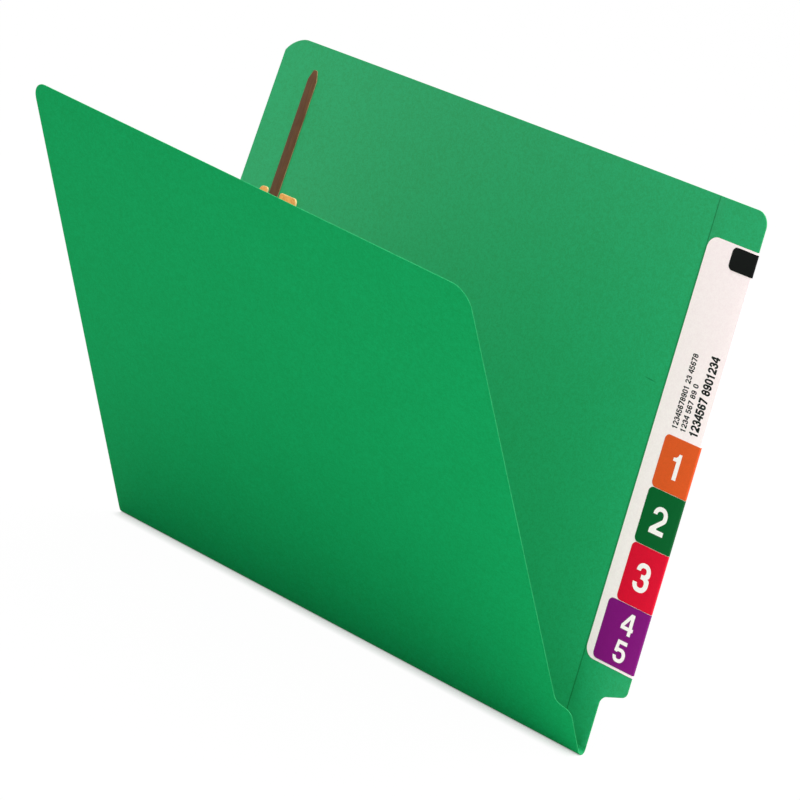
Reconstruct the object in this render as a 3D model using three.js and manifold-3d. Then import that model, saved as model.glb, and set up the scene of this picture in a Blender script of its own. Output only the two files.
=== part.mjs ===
// Side tab fastener folder, letter size, standing on its fold with both covers open.
// Millimetres. X runs along the fold to the tab, Y to the back and Z up.
// The origin is the middle of the fold's underside, where the folder stands.
import * as THREE from "three";
import { mergeVertices } from "three/addons/utils/BufferGeometryUtils.js";
import Module from "manifold-3d";

const wasm = await Module();
wasm.setup();

// Card and covers
const CARD = 0.28; // 11 point card
const BODY_WIDTH = 298.45; // both covers at the fold
const BACK_HEIGHT = 241.3;
const FRONT_HEIGHT = 234.95;
const FRONT_INSET_TOP = 15.2; // the front cover stops this far short of the body's edge at its top
const FRONT_INSET_LOW = 8.6; // and this far just above its jog
const SPINE_WIDTH = 2.4;
const CREASE_CLEARANCE = 0.2;
const COVER_FOOT = 0.15; // from the crease's axis to a cover's lower edge
const BACK_CORNER = 11.5;
const FRONT_CORNER = 9.5;

// Side tab
const TAB_REACH = 12.7;
const TAB_CORNER = 6.35;
const TAB_FOOT_OUTER = 30.5; // the tab's lower edge, up the cover from the fold
const TAB_FOOT_INNER = 25.9;
const TAB_FOOT_CORNER = 3;
const TAB_FOOT_FILLET = 4;
const JOG_TOP = 26.8; // the front cover's jog out to the body's edge
const JOG_FOOT = 24.6;
const JOG_CORNER = 3.5;
const JOG_FILLET = 4;
const PLY_WIDTH = 28; // the second layer of card that stiffens the tab
const PLY_FOOT = 3;

// Labels
const GLUE_LINE = 0.05;
const LABEL_THICKNESS = 0.1;
const LABEL_WIDTH = 27;
const LABEL_FROM_TOP = 16.5;
const LABEL_LENGTH = 185.5;
const LABEL_CORNER = 5;
const BLOCK_CORNER = 2.4;
const BLOCK_GAP = 0.1;
const MARKER_WIDTH = 13.1;
const MARKER_LENGTH = 9.7;
const MARKER_MARGIN = 0.9; // from the label's upper end
const FIRST_WIDTH = 19;
const FIRST_LENGTH = 23.2;
const SECOND_WIDTH = 19.4;
const SECOND_LENGTH = 24.5;
const THIRD_WIDTH = 19.5;
const THIRD_LENGTH = 26;
const DOUBLE_WIDTH = 22.8;
const DOUBLE_LENGTH = 27.2;
const NUMBERS_MARGIN = 1.1; // from the label's lower end

// Fastener
const PRONG_SPACING = 69.85;
const PRONG_REACH = 73.8;
const PRONG_WIDTH = 6.35;
const PRONG_TIP_WIDTH = 2.4;
const PRONG_TIP_LENGTH = 4.8;
const PRONG_TIP_CORNER = 0.9;
const PRONG_THICKNESS = 0.4;
const ROOT_CLEARANCE = 0.25; // each side of the bend at a prong's root
const FASTENER_INSET = 25.2; // from the cover's edge to the middle of the prongs
const PATCH_LEFT = 9.9; // from the middle of the prongs
const PATCH_RIGHT = 16.8;
const PATCH_OVERHANG = 14.6; // past each prong's root
const PATCH_CORNER = 2.6;
const PATCH_ROOF = 0.3;
const NOTCH_LEFT = 4.3; // from the middle of the prongs
const NOTCH_RIGHT = 4.6;
const CHANNEL_CLEARANCE = 0.1;

// Stance
const BACK_LEAN = THREE.MathUtils.degToRad(13.1); // from upright
const FRONT_LEAN = THREE.MathUtils.degToRad(23.4);
const BACK_SPRING = THREE.MathUtils.degToRad(3); // the card's twist at the body's edges
const FRONT_SPRING = THREE.MathUtils.degToRad(2.1);

// Fineness
const GRID_COLUMNS = 12;
const GRID_ROWS = 6;
const GRID_MARGIN = 9;
const ARC_STEPS = 6;

// Places worked out from the sizes
const HALF_BODY = BODY_WIDTH / 2;
const TAB_EDGE = HALF_BODY + TAB_REACH;
const HINGE_Y = SPINE_WIDTH / 2 + CREASE_CLEARANCE + CARD / 2;
const HINGE_Z = CARD / 2;
const FACE = CARD / 2; // the card's inner face, from its middle
const LABEL_TOP = BACK_HEIGHT - LABEL_FROM_TOP;
const LABEL_FOOT = LABEL_TOP - LABEL_LENGTH;
const PRONG_X = FASTENER_INSET - HALF_BODY;
const FASTENER_MIDDLE = BACK_HEIGHT / 2;

// Which side of each cover is inside, and how fast its card twists along the fold.
const BACK = { inside: -1, twist: BACK_SPRING / HALF_BODY };
const FRONT = { inside: 1, twist: -FRONT_SPRING / HALF_BODY };

const finishes = {
  card: new THREE.MeshStandardMaterial({ color: 0x1f9657, roughness: 0.85, metalness: 0 }),
  frontCard: new THREE.MeshStandardMaterial({ color: 0x148e4e, roughness: 0.85, metalness: 0 }),
  whiteLabel: new THREE.MeshStandardMaterial({ color: 0xf4ebe9, roughness: 0.55, metalness: 0 }),
  black: new THREE.MeshStandardMaterial({ color: 0x181818, roughness: 0.5, metalness: 0 }),
  orange: new THREE.MeshStandardMaterial({ color: 0xd65625, roughness: 0.5, metalness: 0 }),
  darkGreen: new THREE.MeshStandardMaterial({ color: 0x0a5a27, roughness: 0.5, metalness: 0 }),
  red: new THREE.MeshStandardMaterial({ color: 0xd01431, roughness: 0.5, metalness: 0 }),
  purple: new THREE.MeshStandardMaterial({ color: 0x76196d, roughness: 0.5, metalness: 0 }),
  coatedSteel: new THREE.MeshStandardMaterial({ color: 0x5e4733, roughness: 0.5, metalness: 0.3 }),
  tanBoard: new THREE.MeshStandardMaterial({ color: 0xdda55e, roughness: 0.8, metalness: 0 }),
};

// A closed geometry as a solid that can be cut.
function toSolid(geometry) {
  const bare = geometry.clone();
  bare.deleteAttribute("normal");
  bare.deleteAttribute("uv");
  const merged = mergeVertices(bare, 1e-5);
  const mesh = new wasm.Mesh({
    numProp: 3,
    vertProperties: new Float32Array(merged.attributes.position.array),
    triVerts: new Uint32Array(merged.index.array),
  });
  return new wasm.Manifold(mesh);
}

function toGeometry(solid) {
  const mesh = solid.getMesh();
  const geometry = new THREE.BufferGeometry();
  geometry.setAttribute("position", new THREE.BufferAttribute(mesh.vertProperties, 3));
  geometry.setIndex(new THREE.BufferAttribute(mesh.triVerts, 1));
  geometry.computeVertexNormals();
  return geometry;
}

// A point of a cover's own frame: x along the fold, up the cover, and off the card's
// middle towards the inside. The cover turns about the fold a little more at each x.
function coverPoint(cover, x, up, off) {
  const turn = cover.twist * x;
  const inwards = up * Math.sin(turn) + off * Math.cos(turn);
  const height = up * Math.cos(turn) - off * Math.sin(turn);
  return [x, cover.inside * inwards, height];
}

// A layer of the cover between two distances off the card's middle, larger than any
// piece. Every layer has its vertices over the same grid, so layers never cross.
function layer(cover, low, high) {
  const left = -HALF_BODY - GRID_MARGIN;
  const right = TAB_EDGE + GRID_MARGIN;
  const bottom = -GRID_MARGIN;
  const top = BACK_HEIGHT + GRID_MARGIN;
  const positions = [];
  for (const off of [low, high]) {
    for (let row = 0; row <= GRID_ROWS; row += 1) {
      for (let column = 0; column <= GRID_COLUMNS; column += 1) {
        const x = THREE.MathUtils.lerp(left, right, column / GRID_COLUMNS);
        const up = THREE.MathUtils.lerp(bottom, top, row / GRID_ROWS);
        positions.push(...coverPoint(cover, x, up, off));
      }
    }
  }
  const perLayer = (GRID_COLUMNS + 1) * (GRID_ROWS + 1);
  const vertex = (level, row, column) => level * perLayer + row * (GRID_COLUMNS + 1) + column;
  const triangles = [];
  const quad = (a, b, c, d) => triangles.push(a, b, c, a, c, d);
  for (let row = 0; row < GRID_ROWS; row += 1) {
    for (let column = 0; column < GRID_COLUMNS; column += 1) {
      const corners = (level) => [
        vertex(level, row, column),
        vertex(level, row, column + 1),
        vertex(level, row + 1, column + 1),
        vertex(level, row + 1, column),
      ];
      const [a, b, c, d] = corners(0);
      const [e, f, g, h] = corners(1);
      triangles.push(a, b, c, a, c, d);
      triangles.push(e, g, f, e, h, g);
    }
  }
  for (let column = 0; column < GRID_COLUMNS; column += 1) {
    const next = column + 1;
    quad(vertex(0, 0, column), vertex(1, 0, column), vertex(1, 0, next), vertex(0, 0, next));
    quad(
      vertex(0, GRID_ROWS, next),
      vertex(1, GRID_ROWS, next),
      vertex(1, GRID_ROWS, column),
      vertex(0, GRID_ROWS, column),
    );
  }
  for (let row = 0; row < GRID_ROWS; row += 1) {
    const next = row + 1;
    quad(vertex(0, next, 0), vertex(1, next, 0), vertex(1, row, 0), vertex(0, row, 0));
    quad(
      vertex(0, row, GRID_COLUMNS),
      vertex(1, row, GRID_COLUMNS),
      vertex(1, next, GRID_COLUMNS),
      vertex(0, next, GRID_COLUMNS),
    );
  }
  // The inside of the back cover faces the other way, which turns every triangle over.
  if (cover.inside < 0) {
    for (let i = 0; i < triangles.length; i += 3) {
      [triangles[i + 1], triangles[i + 2]] = [triangles[i + 2], triangles[i + 1]];
    }
  }
  const geometry = new THREE.BufferGeometry();
  geometry.setAttribute("position", new THREE.Float32BufferAttribute(positions, 3));
  geometry.setIndex(triangles);
  return toSolid(geometry);
}

// An outline whose corners are given as x, height and radius.
function roundedShape(corners) {
  const shape = new THREE.Shape();
  corners.forEach(([x, y, radius], index) => {
    const here = new THREE.Vector2(x, y);
    const [beforeX, beforeY] = corners.at(index - 1);
    const [afterX, afterY] = corners[(index + 1) % corners.length];
    const toBefore = new THREE.Vector2(beforeX, beforeY).sub(here).normalize();
    const toAfter = new THREE.Vector2(afterX, afterY).sub(here).normalize();
    const halfAngle = Math.acos(toBefore.dot(toAfter)) / 2;
    const run = radius / Math.tan(halfAngle);
    const start = here.clone().addScaledVector(toBefore, run);
    if (index === 0) {
      shape.moveTo(start.x, start.y);
    } else {
      shape.lineTo(start.x, start.y);
    }
    if (radius > 0) {
      const end = here.clone().addScaledVector(toAfter, run);
      const middle = toBefore.clone().add(toAfter).normalize();
      const centre = here.clone().addScaledVector(middle, radius / Math.sin(halfAngle));
      const from = start.clone().sub(centre).angle();
      const to = end.clone().sub(centre).angle();
      const clockwise = toBefore.cross(toAfter) > 0;
      shape.absarc(centre.x, centre.y, radius, from, to, clockwise);
    }
  });
  shape.closePath();
  return shape;
}

function rectangle(left, foot, right, top, radius = 0) {
  return roundedShape([
    [left, foot, radius],
    [right, foot, radius],
    [right, top, radius],
    [left, top, radius],
  ]);
}

// A cutting die: the outline, through every layer of a cover.
const DIE_REACH = 60;
function die(shape) {
  const geometry = new THREE.ExtrudeGeometry(shape, {
    depth: 2 * DIE_REACH,
    bevelEnabled: false,
    curveSegments: ARC_STEPS,
  });
  geometry.translate(0, 0, -DIE_REACH);
  geometry.rotateX(Math.PI / 2);
  return toSolid(geometry);
}

function piece(name, solid, material) {
  const mesh = new THREE.Mesh(toGeometry(solid), material);
  mesh.name = name;
  return mesh;
}

function backOutline() {
  return roundedShape([
    [-HALF_BODY, COVER_FOOT, 0],
    [HALF_BODY, COVER_FOOT, 0],
    [HALF_BODY, TAB_FOOT_INNER, TAB_FOOT_FILLET],
    [TAB_EDGE, TAB_FOOT_OUTER, TAB_FOOT_CORNER],
    [TAB_EDGE, BACK_HEIGHT, TAB_CORNER],
    [-HALF_BODY, BACK_HEIGHT, BACK_CORNER],
  ]);
}

function frontOutline() {
  return roundedShape([
    [-HALF_BODY, COVER_FOOT, 0],
    [HALF_BODY, COVER_FOOT, 0],
    [HALF_BODY, JOG_FOOT, JOG_FILLET],
    [HALF_BODY - FRONT_INSET_LOW, JOG_TOP, JOG_CORNER],
    [HALF_BODY - FRONT_INSET_TOP, FRONT_HEIGHT, FRONT_CORNER],
    [-HALF_BODY, FRONT_HEIGHT, FRONT_CORNER],
  ]);
}

function backCover() {
  const solid = layer(BACK, -FACE, FACE).intersect(die(backOutline()));
  return piece("back_cover", solid, finishes.card);
}

function frontCover() {
  const solid = layer(FRONT, -FACE, FACE).intersect(die(frontOutline()));
  return piece("front_cover", solid, finishes.frontCard);
}

function foldStrip() {
  const geometry = new THREE.BoxGeometry(BODY_WIDTH, SPINE_WIDTH, CARD);
  geometry.translate(0, 0, CARD / 2);
  const mesh = new THREE.Mesh(geometry, finishes.card);
  mesh.name = "fold_strip";
  return mesh;
}

const PLY_LOW = FACE + GLUE_LINE;
const PLY_HIGH = PLY_LOW + CARD;

function tabPly() {
  const strip = rectangle(TAB_EDGE - PLY_WIDTH, PLY_FOOT, TAB_EDGE + 1, BACK_HEIGHT + 1);
  const solid = layer(BACK, PLY_LOW, PLY_HIGH).intersect(die(backOutline())).intersect(die(strip));
  return piece("tab_ply", solid, finishes.card);
}

// A sticker that wraps round the tab's edge, over the stickers below it.
function wrapSticker(name, stickersBelow, width, foot, top, corner, material) {
  const under = GLUE_LINE + stickersBelow * (LABEL_THICKNESS + GLUE_LINE);
  const over = under + LABEL_THICKNESS;
  const right = TAB_EDGE + over;
  const mouth = right + corner;
  const outline = die(rectangle(TAB_EDGE - width, foot, mouth, top, corner));
  const outside = layer(BACK, -FACE - over, PLY_HIGH + over)
    .intersect(outline)
    .intersect(die(rectangle(0, 0, right, BACK_HEIGHT)));
  const inside = layer(BACK, -FACE - under, PLY_HIGH + under)
    .intersect(die(rectangle(0, 0, TAB_EDGE + under, BACK_HEIGHT)));
  return piece(name, outside.subtract(inside), material);
}

function labels() {
  const base = wrapSticker(
    "label_base", 0, LABEL_WIDTH, LABEL_FOOT, LABEL_TOP, LABEL_CORNER, finishes.whiteLabel,
  );
  const markerTop = LABEL_TOP - MARKER_MARGIN;
  const marker = wrapSticker(
    "label_marker", 1, MARKER_WIDTH, markerTop - MARKER_LENGTH, markerTop, BLOCK_CORNER,
    finishes.black,
  );
  const blocks = [
    { name: "label_double", width: DOUBLE_WIDTH, length: DOUBLE_LENGTH, finish: finishes.purple },
    { name: "label_third", width: THIRD_WIDTH, length: THIRD_LENGTH, finish: finishes.red },
    { name: "label_second", width: SECOND_WIDTH, length: SECOND_LENGTH, finish: finishes.darkGreen },
    { name: "label_first", width: FIRST_WIDTH, length: FIRST_LENGTH, finish: finishes.orange },
  ];
  let foot = LABEL_FOOT + NUMBERS_MARGIN;
  const numbers = blocks.map(({ name, width, length, finish }) => {
    const sticker = wrapSticker(
      name, 1, width, foot, foot + length - BLOCK_GAP, BLOCK_CORNER, finish,
    );
    foot += length;
    return sticker;
  });
  return [base, marker, ...numbers];
}

const BASE_LOW = FACE + GLUE_LINE;
const BASE_HIGH = BASE_LOW + PRONG_THICKNESS;
const ROOT_UP = PRONG_SPACING / 2; // from the fastener's middle to a prong's root

function fastenerBase(grow = 0, low = BASE_LOW, high = BASE_HIGH) {
  const reach = ROOT_UP - ROOT_CLEARANCE + grow;
  const half = PRONG_WIDTH / 2 + grow;
  const strip = rectangle(
    PRONG_X - half, FASTENER_MIDDLE - reach, PRONG_X + half, FASTENER_MIDDLE + reach,
  );
  return layer(BACK, low, high).intersect(die(strip));
}

// The board patch that holds the fastener down, with a notch at each end for a prong
// and a channel underneath for the strip between the prongs.
function fastenerPatch() {
  const left = PRONG_X - PATCH_LEFT;
  const right = PRONG_X + PATCH_RIGHT;
  const notchLeft = PRONG_X - NOTCH_LEFT;
  const notchRight = PRONG_X + NOTCH_RIGHT;
  const end = ROOT_UP + PATCH_OVERHANG;
  const notchEnd = ROOT_UP - 2 * ROOT_CLEARANCE;
  const up = (distance) => FASTENER_MIDDLE + distance;
  const outline = roundedShape([
    [left, up(-end), PATCH_CORNER],
    [notchLeft, up(-end), PATCH_CORNER / 2],
    [notchLeft, up(-notchEnd), 0],
    [notchRight, up(-notchEnd), 0],
    [notchRight, up(-end), PATCH_CORNER / 2],
    [right, up(-end), PATCH_CORNER],
    [right, up(end), PATCH_CORNER],
    [notchRight, up(end), PATCH_CORNER / 2],
    [notchRight, up(notchEnd), 0],
    [notchLeft, up(notchEnd), 0],
    [notchLeft, up(end), PATCH_CORNER / 2],
    [left, up(end), PATCH_CORNER],
  ]);
  const channelTop = BASE_HIGH + CHANNEL_CLEARANCE;
  const board = layer(BACK, BASE_LOW, channelTop + PATCH_ROOF).intersect(die(outline));
  const channel = fastenerBase(CHANNEL_CLEARANCE, 0, channelTop);
  return piece("fastener_patch", board.subtract(channel), finishes.tanBoard);
}

// A prong lies flat on the cover, pointing away from the fastener's middle.
function prong(name, way) {
  const root = FASTENER_MIDDLE + way * (ROOT_UP + ROOT_CLEARANCE);
  const tip = FASTENER_MIDDLE + way * (ROOT_UP + PRONG_REACH);
  const shoulder = tip - way * PRONG_TIP_LENGTH;
  const half = PRONG_WIDTH / 2;
  const tipHalf = PRONG_TIP_WIDTH / 2;
  const corners = [
    [PRONG_X - half, root, 0],
    [PRONG_X + half, root, 0],
    [PRONG_X + half, shoulder, PRONG_TIP_CORNER],
    [PRONG_X + tipHalf, tip, PRONG_TIP_CORNER],
    [PRONG_X - tipHalf, tip, PRONG_TIP_CORNER],
    [PRONG_X - half, shoulder, PRONG_TIP_CORNER],
  ];
  const outline = roundedShape(way > 0 ? corners : corners.reverse());
  const solid = layer(BACK, BASE_LOW, BASE_HIGH).intersect(die(outline));
  return piece(name, solid, finishes.coatedSteel);
}

const folder = new THREE.Group();
folder.add(foldStrip());

const back = new THREE.Group();
back.position.set(0, HINGE_Y, HINGE_Z);
back.rotation.x = -BACK_LEAN;
back.add(
  backCover(),
  tabPly(),
  ...labels(),
  piece("fastener_base", fastenerBase(), finishes.coatedSteel),
  fastenerPatch(),
  prong("prong_upper", 1),
  prong("prong_lower", -1),
);

const front = new THREE.Group();
front.position.set(0, -HINGE_Y, HINGE_Z);
front.rotation.x = FRONT_LEAN;
front.add(frontCover());

folder.add(back, front);

export default folder;
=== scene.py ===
# %% [markdown]
# # A card folder with a side tab
# The real folder is one sheet of green card, cut with a die and folded once. A second layer of
# card stiffens its tab, stickers wrap round the tab's edge, and a paper fastener holds sheets
# to the inside of the back cover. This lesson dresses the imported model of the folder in
# Blender. Every length below is in millimetres until a piece is put in place, because that is
# how a stationer measures it, and the last step of each piece turns it into metres.

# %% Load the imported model
import math

import bmesh
import bpy
from mathutils import Matrix, Vector


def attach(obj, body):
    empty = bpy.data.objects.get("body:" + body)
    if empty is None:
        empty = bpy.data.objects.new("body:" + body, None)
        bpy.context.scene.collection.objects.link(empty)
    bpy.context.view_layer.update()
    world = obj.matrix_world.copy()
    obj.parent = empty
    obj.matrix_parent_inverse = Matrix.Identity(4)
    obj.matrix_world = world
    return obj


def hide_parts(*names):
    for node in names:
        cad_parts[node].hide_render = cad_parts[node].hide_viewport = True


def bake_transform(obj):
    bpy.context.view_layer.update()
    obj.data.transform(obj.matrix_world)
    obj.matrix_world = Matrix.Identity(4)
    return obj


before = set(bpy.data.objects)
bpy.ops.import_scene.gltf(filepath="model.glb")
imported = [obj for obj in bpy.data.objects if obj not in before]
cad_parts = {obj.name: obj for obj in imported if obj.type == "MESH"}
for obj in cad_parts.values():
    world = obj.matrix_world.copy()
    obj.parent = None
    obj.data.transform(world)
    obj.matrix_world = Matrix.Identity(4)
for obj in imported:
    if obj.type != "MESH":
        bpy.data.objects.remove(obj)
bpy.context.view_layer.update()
MM = 0.001

# %% [markdown]
# ## The camera
# The camera stands where the folder's edges line up with the picture that the model was
# measured from. A camera can be aimed by angles too, but a fitted view has no simple ones, so
# its three directions are written out as vectors. Blender's camera looks along its own -Z and
# has its +Y up, so two of the three change sign.

# %% Camera
CAMERA_POINT = Vector((0.9051937, -0.9871473, 0.5528416))
CAMERA_RIGHT = Vector((0.7020077, 0.6969725, 0.1463374))
CAMERA_DOWN = Vector((0.3220167, -0.1273727, -0.9381266))
CAMERA_FORWARD = Vector((-0.6352090, 0.7056951, -0.3138534))
CAMERA_LENS = 144.35

camera_data = bpy.data.cameras.new("camera")
camera_data.sensor_width = 36.0
camera_data.lens = CAMERA_LENS
camera_data.clip_start = 0.1
camera_data.clip_end = 60.0
camera = bpy.data.objects.new("camera", camera_data)
camera_turn = Matrix((CAMERA_RIGHT, -CAMERA_DOWN, -CAMERA_FORWARD)).transposed()
camera.matrix_world = Matrix.Translation(CAMERA_POINT) @ camera_turn.to_4x4()
bpy.context.scene.collection.objects.link(camera)
bpy.context.scene.camera = camera
print("camera lens:", round(camera_data.lens, 2), "mm")

# %% [markdown]
# ## Colours
# Colours are given as they look on a screen, in eight-bit red, green and blue. Blender mixes
# light in linear values, so each one is converted once, here.


# %% Colour helper
def screen_colour(red, green, blue):
    """An eight-bit screen colour as the linear colour that a shader takes."""

    def linear(value):
        share = value / 255
        return share / 12.92 if share <= 0.04045 else ((share + 0.055) / 1.055) ** 2.4

    return (linear(red), linear(green), linear(blue), 1.0)


print("a screen's middle grey in linear light:", round(screen_colour(128, 128, 128)[0], 3))

# %% [markdown]
# ## Rays that see the ground
# A product picture has a pure white ground, while a real white table also lights the object
# from below. A Light Path node tells the two apart. Rays from the camera, and rays that a shiny
# or a clear surface sends on, see the white ground, and all the others meet a real table.


# %% Ray helper
def seen_directly(nodes, links):
    """1 for a camera ray, and for one that a glossy or clear surface sends on, otherwise 0."""
    path = nodes.new("ShaderNodeLightPath")
    shiny = nodes.new("ShaderNodeMath")
    shiny.operation = "MAXIMUM"
    links.new(path.outputs["Is Glossy Ray"], shiny.inputs[0])
    links.new(path.outputs["Is Transmission Ray"], shiny.inputs[1])
    seen = nodes.new("ShaderNodeMath")
    seen.operation = "MAXIMUM"
    links.new(path.outputs["Is Camera Ray"], seen.inputs[0])
    links.new(shiny.outputs[0], seen.inputs[1])
    return seen.outputs[0]


# %% [markdown]
# ## The floor
# The folder stands on a plain white table, with a soft shadow along the fold. Where a ray sees
# it directly, most of the floor's surface is plain white light, and the rest is diffuse and
# takes the shadow. An ambient occlusion node takes most of that white away within a few
# millimetres of the card, where a real contact shadow is darkest. Every other ray meets a
# plain diffuse table, which sends its light up to the covers as a real one does.

# %% Floor
WHITE = (1.0, 1.0, 1.0, 1.0)
FLOOR_REACH = 14.0
FLOOR_PALE = screen_colour(240, 239, 240)
OPEN_WHITE_SHARE = 0.985
CONTACT_WHITE_SHARE = 0.25
SHADOW_REACH = 0.006

floor_material = bpy.data.materials.new("white_table")
floor_material.use_nodes = True
floor_nodes = floor_material.node_tree.nodes
floor_links = floor_material.node_tree.links
floor_nodes.clear()
floor_diffuse = floor_nodes.new("ShaderNodeBsdfDiffuse")
floor_diffuse.inputs["Color"].default_value = FLOOR_PALE
floor_glow = floor_nodes.new("ShaderNodeEmission")
floor_glow.inputs["Color"].default_value = WHITE
floor_nearness = floor_nodes.new("ShaderNodeAmbientOcclusion")
floor_nearness.inputs["Distance"].default_value = SHADOW_REACH
floor_share = floor_nodes.new("ShaderNodeMapRange")
floor_share.inputs["To Min"].default_value = CONTACT_WHITE_SHARE
floor_share.inputs["To Max"].default_value = OPEN_WHITE_SHARE
floor_links.new(floor_nearness.outputs["AO"], floor_share.inputs["Value"])
floor_open = floor_nodes.new("ShaderNodeMath")
floor_open.operation = "MULTIPLY"
floor_links.new(floor_share.outputs["Result"], floor_open.inputs[0])
floor_links.new(seen_directly(floor_nodes, floor_links), floor_open.inputs[1])
floor_mix = floor_nodes.new("ShaderNodeMixShader")
floor_links.new(floor_open.outputs[0], floor_mix.inputs["Fac"])
floor_links.new(floor_diffuse.outputs[0], floor_mix.inputs[1])
floor_links.new(floor_glow.outputs[0], floor_mix.inputs[2])
floor_output = floor_nodes.new("ShaderNodeOutputMaterial")
floor_links.new(floor_mix.outputs[0], floor_output.inputs["Surface"])

floor_shape = bmesh.new()
bmesh.ops.create_grid(floor_shape, x_segments=1, y_segments=1, size=FLOOR_REACH)
floor_mesh = bpy.data.meshes.new("floor")
floor_shape.to_mesh(floor_mesh)
floor_shape.free()
floor_mesh.materials.append(floor_material)
floor = bpy.data.objects.new("floor", floor_mesh)
bpy.context.scene.collection.objects.link(floor)
print("floor:", 2 * FLOOR_REACH, "m wide, contact shadow within", SHADOW_REACH, "m of the card")

# %% [markdown]
# ## The light
# A product picture is lit by large soft boxes, so that thin card throws no hard shadow. Two
# square lamps stand in for them, one in front on the tab's side and one high behind, and an
# even white world fills the rest. A picture of a real studio could light the folder too, but
# that is one more file, and two lamps are easier to judge. They stay at a plain level, at
# which a colour renders about as it is written.

# %% World and lamps
AMBIENT = 0.4
LAMP_AIM = (0.0, 0.0, 0.12)
LAMP_WIDTH = 1.5


def soft_lamp(name, point, watts):
    """A square soft lamp at a point, turned towards the folder."""
    lamp_data = bpy.data.lights.new(name, "AREA")
    lamp_data.shape = "SQUARE"
    lamp_data.size = LAMP_WIDTH
    lamp_data.energy = watts
    lamp = bpy.data.objects.new(name, lamp_data)
    lamp.location = point
    direction = Vector(LAMP_AIM) - Vector(point)
    lamp.rotation_euler = direction.to_track_quat("-Z", "Y").to_euler()
    bpy.context.scene.collection.objects.link(lamp)


world = bpy.data.worlds.new("studio")
bpy.context.scene.world = world
world.use_nodes = True
world_nodes = world.node_tree.nodes
world_links = world.node_tree.links
world_nodes.clear()
world_level = world_nodes.new("ShaderNodeMapRange")
world_level.inputs["To Min"].default_value = AMBIENT
world_level.inputs["To Max"].default_value = 1.0
world_links.new(seen_directly(world_nodes, world_links), world_level.inputs["Value"])
world_light = world_nodes.new("ShaderNodeBackground")
world_light.inputs["Color"].default_value = WHITE
world_links.new(world_level.outputs["Result"], world_light.inputs["Strength"])
world_output = world_nodes.new("ShaderNodeOutputWorld")
world_links.new(world_light.outputs[0], world_output.inputs["Surface"])

soft_lamp("lamp_right", (1.35, -0.75, 2.2), 55.0)
soft_lamp("lamp_behind", (0.3, 0.45, 2.5), 59.0)
bpy.context.scene.view_settings.view_transform = "Standard"

# %% [markdown]
# ## What a finish is made of
# Paper, ink and coated steel all get their looks in one way: a few noise textures are added up
# into one value that shades the colour, and the finer ones dent the surface a little. Each
# finish could have its nodes written out in full, but with five small helpers the recipes
# stay short and can be read side by side.

# %% Finish helpers
NOISE_DETAIL = 3


def new_finish(name):
    """A new material with its nodes, links and main shader."""
    material = bpy.data.materials.new(name)
    material.use_nodes = True
    tree = material.node_tree
    return material, tree.nodes, tree.links, tree.nodes["Principled BSDF"]


def noise_on(nodes, links, place, scale, rough=0.5):
    """A noise texture of so many features to the metre."""
    noise = nodes.new("ShaderNodeTexNoise")
    noise.inputs["Scale"].default_value = scale
    noise.inputs["Detail"].default_value = NOISE_DETAIL
    noise.inputs["Roughness"].default_value = rough
    links.new(place.outputs["Object"], noise.inputs["Vector"])
    return noise


def weighted_sum(nodes, links, sources):
    """The sum of several values, each times its weight."""
    total = None
    for output, weight in sources:
        part = nodes.new("ShaderNodeMath")
        part.operation = "MULTIPLY_ADD"
        part.inputs[1].default_value = weight
        part.inputs[2].default_value = 0.0
        links.new(output, part.inputs[0])
        if total is not None:
            links.new(total, part.inputs[2])
        total = part.outputs[0]
    return total


def colour_between(nodes, links, value, ends, colours, shader):
    """Gives a shader a colour that runs between two, while a value runs between two ends."""
    ramp = nodes.new("ShaderNodeValToRGB")
    for element, end, colour in zip(ramp.color_ramp.elements, ends, colours):
        element.position = end
        element.color = colour
    links.new(value, ramp.inputs["Fac"])
    links.new(ramp.outputs["Color"], shader.inputs["Base Color"])


def dent_surface(nodes, links, height, strength, distance, shader):
    """Gives a shader a fine bump from a value, so many metres deep."""
    dents = nodes.new("ShaderNodeBump")
    dents.inputs["Strength"].default_value = strength
    dents.inputs["Distance"].default_value = distance
    links.new(height, dents.inputs["Height"])
    links.new(dents.outputs["Normal"], shader.inputs["Normal"])


# %% [markdown]
# ## Folder card
# Folder card is dyed in the pulp, so it has no printed surface: it is matt, with faint clouds
# where the pulp is denser, a fine mottle, and single fibres that catch the light. Three noise
# textures of different scales give these, and the finest has the largest share. A photographed
# grain could be wrapped on instead, but noise needs no file and repeats nowhere. It is all on
# Object coordinates, so that the grain keeps its real size and runs on from one piece to the
# next. A small bump from the two finer ones keeps the surface from looking like plastic. The
# inside and the outside are two copies of one card: the inside is painted lighter and glossier,
# a painted sheen, and the outside is painted darker and more matt, a painted shade. The cut rim
# shows the paler pulp.

# %% Card finish
CLOUDS_PER_METRE = 45
MOTTLES_PER_METRE = 520
FIBRES_PER_METRE = 1500
SOFT_NOISE = 0.55
CRISP_NOISE = 0.65
GRAIN_ENDS = (0.4, 0.6)
GRAIN_DEPTH = 0.0001


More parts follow.
